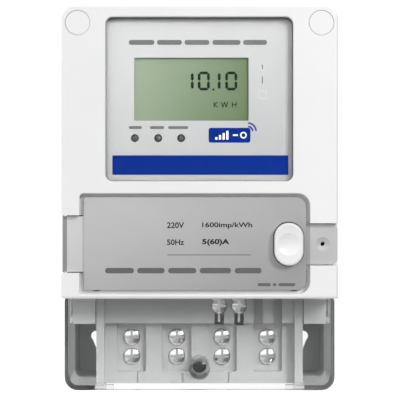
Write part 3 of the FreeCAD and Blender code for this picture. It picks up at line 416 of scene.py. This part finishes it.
# By material slot. After its name and colour, plain takes rough, blotch_mm, spread, grain_mm and
# depth_mm; graded takes direction, span_mm, colours, rough, blotch_mm and spread.
MATERIALS = {
    "cover_white": plain("cover_white_abs", COVER_WHITE, 0.42, 22.0, 0.012, 0.6, 0.004),
    "base_grey": plain("base_grey_abs", grey(0.50), 0.5, 18.0, 0.03, 0.6, 0.006),
    # The terminal block: painted shade, darker towards the top, where the front cover's lip shades it.
    "block_grey": graded("block_grey_pc", DOWN, (40.0, 74.0), (grey(0.34), grey(0.55)), 0.45, 12.0, 0.03),
    # The door: painted shading, lighter at the upper left and darker towards the lower right, times the
    # door's steps.
    "door_grey": graded("door_grey_abs", (0.47, 0.0, -0.88), (-19.0, 43.0), (grey(0.645), grey(0.40)),
                        0.38, 20.0, 0.03, DOOR_STEPS),
    # The button: painted shade, darker towards its top.
    "button_white": graded("button_white_abs", DOWN, (11.0, 19.0), (grey(0.72), grey(0.82)),
                           0.35, 6.0, 0.012),
    "clear_cover": clear("clear_polycarbonate", (0.97, 0.98, 0.98), 0.02, ior=1.50, density=45.0),
    "clear_lens": clear("clear_lens_acrylic", (0.985, 0.99, 0.99), 0.04, ior=1.10),
    "seal_rubber": plain("seal_rubber", (0.03, 0.03, 0.03), 0.75, 3.0, 0.15, 0.3, 0.02),
    # The nameplate: painted shading, lighter at the upper left and darker towards the lower right.
    "plate_print": graded("plate_sheet", (0.43, 0.0, -0.90), (-76.0, -6.0), (grey(0.525), grey(0.368)),
                          0.5, 25.0, 0.02, specular=0.3),
    # The display: painted sheen, lighter at the upper left and darker towards the lower right.
    "display_glass": graded("display_reflector_painted_sheen", (0.894, 0.0, -0.447), (-49.0, 4.0), DISPLAY_SHEEN_GREENS,
                            0.4, 12.0, 0.03, specular=0.3),
    "frame_plastic": plain("frame_black", (0.05, 0.05, 0.05), 0.5, 5.0, 0.1, 0.4, 0.01),
    "light_guide": plain("light_guide", (0.80, 0.85, 0.78), 0.25, 8.0, 0.03, 0.5, 0.003),
    "led_body": plain("led_body", (0.082, 0.083, 0.083), 0.3, 1.5, 0.06, 0.4, 0.002, specular=0.3),
    "screw_steel": metal("screw_nickel", (0.86, 0.85, 0.83), 0.12, stretch=(1.0, 1.0, 6.0)),
    "screw_black": metal("screw_black_oxide", (0.09, 0.09, 0.092), 0.3, stretch=(1.0, 1.0, 6.0)),
    "pin_metal": metal("pin_tin", (0.66, 0.65, 0.62), 0.3),
    "board_green": board("board_green", (0.012, 0.16, 0.055), track=(0.03, 0.27, 0.11)),
    "chip_black": plain("chip_black", (0.022, 0.022, 0.024), 0.55, 2.0, 0.1, 0.2, 0.006),
    "can_sleeve": plain("can_sleeve", (0.03, 0.035, 0.07), 0.3, 4.0, 0.08, 0.6, 0.004, coat=0.3),
    "varistor_blue": plain("varistor_epoxy", (0.02, 0.09, 0.35), 0.3, 3.0, 0.1, 0.8, 0.03),
    "core_steel": laminated("core_sheets", (0.34, 0.33, 0.32), layer_mm=0.5),
    "winding_tape": plain("winding_tape", (0.75, 0.56, 0.10), 0.3, 3.0, 0.08, 1.0, 0.02),
    "relay_black": plain("relay_case", (0.03, 0.03, 0.032), 0.4, 5.0, 0.1, 0.5, 0.006),
    "battery_wrap": plain("battery_wrap", (0.10, 0.32, 0.16), 0.3, 6.0, 0.05, 0.8, 0.005, coat=0.3),
    "copper": metal("copper", (0.86, 0.45, 0.28), 0.28, stretch=(1.0, 1.0, 8.0), tarnish=0.3),
    "shunt_alloy": metal("shunt_alloy", (0.55, 0.45, 0.38), 0.4, stretch=(8.0, 1.0, 1.0), tarnish=0.25),
    "brass": metal("brass_nickel", (0.80, 0.78, 0.73), 0.3, stretch=(1.0, 1.0, 5.0), tarnish=0.2),
    "lead_red": plain("lead_red_pvc", (0.55, 0.02, 0.02), 0.4, 2.0, 0.06, 0.4, 0.006),
    "lead_white": plain("lead_white_pvc", (0.75, 0.75, 0.73), 0.4, 2.0, 0.03, 0.4, 0.006),
    "module_blue": plain("module_blue_abs", (0.03, 0.14, 0.42), 0.4, 9.0, 0.04, 0.5, 0.006),
    "spring_steel": metal("spring_steel", (0.55, 0.55, 0.56), 0.25, stretch=(1.0, 6.0, 1.0)),
}
INK = {
    "dark": plain("ink_black", (0.016, 0.016, 0.019), 0.5, 1.2, 0.15, 0.2, 0.002, specular=0.15),
    "blue": plain("ink_blue", (0.0005, 0.017, 0.168), 0.5, 4.0, 0.04, 0.2, 0.002, specular=0.04),
    "white": plain("ink_white", (0.84, 0.84, 0.86), 0.45, 1.5, 0.02, 0.2, 0.002, specular=0.2),
    "pale": plain("ink_pale", (0.50, 0.505, 0.51), 0.45, 1.5, 0.04, 0.2, 0.002, specular=0.2),
    "rule": plain("ink_grey", (0.13, 0.13, 0.13), 0.45, 1.5, 0.06, 0.2, 0.002, specular=0.2),
    "segment": plain("segment_black", (0.010, 0.014, 0.010), 0.4, 1.0, 0.15, 0.2, 0.001, specular=0.1),
}


def dress_nodes():
    """Gives every CAD node the material of its slot in the record."""
    for part in frame["record"]["subparts"]:
        thing = frame["nodes"][part["node"]]
        for place in thing.material_slots:
            place.material = MATERIALS[part["material_slot"]]


# ---------------------------------------------------------------- outlines, in millimetres as (x, z)
def box_line(x, z):
    return [(x[0], z[0]), (x[1], z[0]), (x[1], z[1]), (x[0], z[1])]


def round_line(x, z, radius, steps=6):
    """Rectangle with round corners, anticlockwise from the low left."""
    line = []
    corners = ((x[0], z[0], 180), (x[1], z[0], 270), (x[1], z[1], 0), (x[0], z[1], 90))
    for cx, cz, start in corners:
        px = cx + (radius if cx == x[0] else -radius)
        pz = cz + (radius if cz == z[0] else -radius)
        for i in range(steps + 1):
            angle = radians(start + 90 * i / steps)
            line.append((px + radius * cos(angle), pz + radius * sin(angle)))
    return line


def arc_line(cx, cz, radius, width, start, end, steps=14):
    """Band along an arc, in degrees anticlockwise from +X."""
    angles = [radians(start + (end - start) * i / steps) for i in range(steps + 1)]
    outer = [(cx + (radius + width / 2) * cos(a), cz + (radius + width / 2) * sin(a)) for a in angles]
    inner = [(cx + (radius - width / 2) * cos(a), cz + (radius - width / 2) * sin(a)) for a in angles]
    return outer + inner[::-1]


def half_steps(start, end, width):
    """Half of a stroke's width as a vector along the stroke, and as one to its side."""
    forward = (end - start).normalized() * width / 2
    return forward, Vector((forward.y, -forward.x))


def stroke_line(start, end, width):
    """Straight stroke with pointed ends, as on a display."""
    a = Vector(start)
    b = Vector(end)
    forward, side = half_steps(a, b, width)
    points = (a, a + forward + side, b - forward + side, b, b - forward - side, a + forward - side)
    return [tuple(p) for p in points]


def bar_line(start, end, width):
    """Straight stroke with square ends."""
    a = Vector(start)
    b = Vector(end)
    side = half_steps(a, b, width)[1]
    return [tuple(p) for p in (a + side, b + side, b - side, a - side)]


def word(x, z):
    """A stand-in for a printed word: one plain bar with round ends."""
    return round_line(x, z, 0.45 * (z[1] - z[0]), 4)


def words(spans, z):
    return [word(x, z) for x in spans]


# ---------------------------------------------------------------- pieces made here
def add_piece(name, mesh, material, body):
    data = bpy.data.meshes.new(name)
    mesh.to_mesh(data)
    mesh.free()
    data.materials.append(material)
    piece = bpy.data.objects.new(name, data)
    bpy.context.scene.collection.objects.link(piece)
    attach(piece, body)


def ink(name, outlines, front, material, body="housing", lift=INK_LIFT):
    """Printed areas: closed outlines with the thickness of a heavy ink on the surface at y = front."""
    mesh = bmesh.new()
    for line in outlines:
        near = [mesh.verts.new((x * MM, front - lift, z * MM)) for x, z in line]
        far = [mesh.verts.new((x * MM, front + INK_SINK, z * MM)) for x, z in line]
        mesh.faces.new(near)
        mesh.faces.new(far[::-1])
        for i in range(len(line)):
            j = (i + 1) % len(line)
            mesh.faces.new((near[j], near[i], far[i], far[j]))
    add_piece(name, mesh, material, body)


def lettering(name, text, x, z, front, material, body, bold):
    """Numbers and units, fitted into the spans x and z."""
    curve = bpy.data.curves.new(name, "FONT")
    curve.body = text
    curve.extrude = (INK_LIFT + INK_SINK) / 2 / MM
    curve.offset = bold
    curve.resolution_u = 4
    source = bpy.data.objects.new(name + "_source", curve)
    bpy.context.scene.collection.objects.link(source)
    bpy.context.view_layer.update()
    flat = bpy.data.meshes.new_from_object(source)
    bpy.data.objects.remove(source)
    mesh = bmesh.new()
    mesh.from_mesh(flat)
    bpy.data.meshes.remove(flat)
    bmesh.ops.remove_doubles(mesh, verts=mesh.verts, dist=1e-5)
    xs = [v.co.x for v in mesh.verts]
    ys = [v.co.y for v in mesh.verts]
    wide = (x[1] - x[0]) / (max(xs) - min(xs))
    tall = (z[1] - z[0]) / (max(ys) - min(ys))
    middle = front + (INK_SINK - INK_LIFT) / 2
    for v in mesh.verts:
        across = x[0] + (v.co.x - min(xs)) * wide
        up = z[0] + (v.co.y - min(ys)) * tall
        v.co = Vector((across * MM, middle - v.co.z * MM, up * MM))
    bmesh.ops.recalc_face_normals(mesh, faces=mesh.faces)
    add_piece(name, mesh, material, body)


# ---------------------------------------------------------------- the display
SEGMENTS = {"0": "abcdef", "1": "bc"}


def digit(mark, left, low, wide, tall, stroke):
    """Strokes of a seven-segment digit."""
    inset = stroke / 2
    gap = 0.06
    x = (left + inset, left + wide - inset)
    z = (low + inset, low + tall / 2, low + tall - inset)
    ends = {
        "a": ((x[0] + gap, z[2]), (x[1] - gap, z[2])),
        "b": ((x[1], z[1] + gap), (x[1], z[2] - gap)),
        "c": ((x[1], z[0] + gap), (x[1], z[1] - gap)),
        "d": ((x[0] + gap, z[0]), (x[1] - gap, z[0])),
        "e": ((x[0], z[0] + gap), (x[0], z[1] - gap)),
        "f": ((x[0], z[1] + gap), (x[0], z[2] - gap)),
    }
    return [stroke_line(*ends[s], stroke) for s in SEGMENTS[mark]]


def make_reading():
    """The lit digits, with a decimal point."""
    low = 44.0
    tall = 7.7
    wide = 4.9
    stroke = 1.12
    lines = []
    for mark, left in (("1", -7.3), ("0", -0.7), ("1", 3.7), ("0", 10.5)):
        lines += digit(mark, left, low, wide, tall, stroke)
    lines.append(round_line((5.3, 6.1), (low, low + 0.8), 0.15, 3))
    ink("display_reading", lines, GLASS_FRONT, INK["segment"])


def make_unit():
    """The energy unit under the digits, in plain strokes."""
    low = 37.1
    high = 39.3
    middle = (low + high) / 2
    first = [((5.95, low), (5.95, high)), ((6.1, middle), (7.4, high)), ((6.1, middle), (7.4, low))]
    zigzag = [(8.9, high), (9.5, low), (10.2, high), (10.9, low), (11.5, high)]
    second = list(zip(zigzag, zigzag[1:]))
    third = [((x, low), (x, high)) for x in (13.4, 14.9)] + [((13.5, middle), (14.8, middle))]
    lines = [bar_line(start, end, 0.36) for start, end in first + second + third]
    ink("display_unit", lines, GLASS_FRONT, INK["segment"])


# ---------------------------------------------------------------- what is printed on the nameplate
def make_plate_words():
    """Bars where the title and the names of the lamps stand."""
    title = ((-28.8, -18.4), (-17.3, -7.2), (-6.1, 4.0), (5.3, 16.7), (17.8, 27.5))
    ink("plate_title", words(title, (62.5, 64.5)), PLATE_FRONT, INK["rule"])
    labels = ((-28.8, -23.5), (-20.2, -14.4), (-12.8, -4.6))
    ink("lamp_labels", words(labels, (28.2, 29.4)), PLATE_FRONT, INK["rule"])


def make_plate_lines():
    """The blue band along the bottom and the fine lines down both sides."""
    ink("plate_band", [round_line((-35.5, 36.2), (9.55, 17.5), 0.25)], PLATE_FRONT, INK["blue"])
    sides = [box_line((x, x + 0.12), (19.5, 71.0)) for x in (-34.0, 34.4)]
    ink("plate_side_lines", sides, PLATE_FRONT, INK["pale"])


def make_badge():
    """A plain blue badge with signal bars, a dash and a ring, and two arcs at its corner."""
    ink("link_badge", [round_line((3.7, 20.75), (22.65, 28.7), 0.94)], PLATE_FRONT, INK["blue"])
    arcs = [arc_line(19.7, 27.3, radius, 0.62, 2, 88) for radius in (1.95, 3.35)]
    ink("link_arcs", arcs, PLATE_FRONT, INK["blue"], lift=1.5 * INK_LIFT)
    marks = [box_line((6.4 + i * 1.5, 7.3 + i * 1.5), (23.9, 24.9 + i * 0.85)) for i in range(4)]
    marks.append(box_line((13.6, 15.6), (25.4, 26.0)))
    marks.append(arc_line(17.9, 25.7, 1.1, 0.5, 0, 360, 24))
    ink("link_badge_marks", marks, PLATE_FRONT - INK_LIFT, INK["white"])


def make_phase_marks():
    """The small marks in a column beside the display."""
    ink("phase_ring", [arc_line(25.6, 53.5, 1.35, 0.22, 0, 360, 32)], PLATE_FRONT, INK["pale"])
    flag = [(25.02, 53.85), (25.5, 53.95), (25.5, 54.4), (25.3, 54.2)]
    ink("phase_number", [box_line((25.5, 25.82), (52.6, 54.4)), flag], PLATE_FRONT, INK["rule"])
    ink("phase_bar", [round_line((25.4, 25.8), (46.7, 49.6), 0.15, 3)], PLATE_FRONT, INK["rule"])
    square = [box_line((24.0, 27.2), (z, z + 0.2)) for z in (40.5, 43.7)]
    square += [box_line((x, x + 0.2), (40.7, 43.7)) for x in (24.0, 27.0)]
    ink("phase_square", square, PLATE_FRONT, INK["pale"])


# ---------------------------------------------------------------- what is printed on the door
RATINGS = (
    ("rating_voltage", "220V", (-13.2, -6.3), (-12.15, -9.75), 0.018),
    ("rating_frequency", "50Hz", (-13.2, -6.3), (-19.0, -16.7), 0.018),
    ("rating_pulses", "1600imp/kWh", (1.1, 21.4), (-12.4, -9.75), 0.018),
    ("rating_current", "5(60)A", (1.1, 12.1), (-19.3, -16.5), 0.035),
)


def make_door_print():
    """The ratings, a rule under them, and bars where the title and the small print stand."""
    for name, text, x, z, bold in RATINGS:
        lettering(name, text, x, z, DOOR_FRONT, INK["dark"], "door", bold)
    ink("door_rule", [box_line((-13.1, 21.0), (-23.15, -22.88))], DOOR_FRONT, INK["rule"], "door")
    title = ((-38.35, -26.7), (-25.3, -14.2), (-12.7, -1.3), (0.1, 12.8), (14.35, 25.2))
    ink("door_title", words(title, (-30.5, -28.3)), DOOR_FRONT, INK["rule"], "door")
    origin = ((23.7, 28.9), (29.8, 31.2), (32.1, 38.9))
    ink("door_small_print", words(origin, (-35.7, -34.5)), DOOR_FRONT, INK["rule"], "door")


# ---------------------------------------------------------------- the button's spring
def make_spring():
    """The button's return spring, copied from its CAD node and carried by the housing; the real spring
    shortens towards its seat as the button goes in, while this copy keeps its full length.
    """
    data = frame["nodes"]["button_spring"].data.copy()
    data.materials.clear()
    data.materials.append(MATERIALS["spring_steel"])
    spring = bpy.data.objects.new("return_spring", data)
    bpy.context.scene.collection.objects.link(spring)
    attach(spring, "housing")
    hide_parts("button_spring")
    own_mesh(spring)


bpy.context.scene.view_settings.view_transform = "Standard"
make_camera()
make_world()
make_light()
make_floor()
dress_nodes()
make_reading()
make_unit()
make_plate_words()
make_plate_lines()
make_badge()
make_phase_marks()
make_door_print()
make_spring()
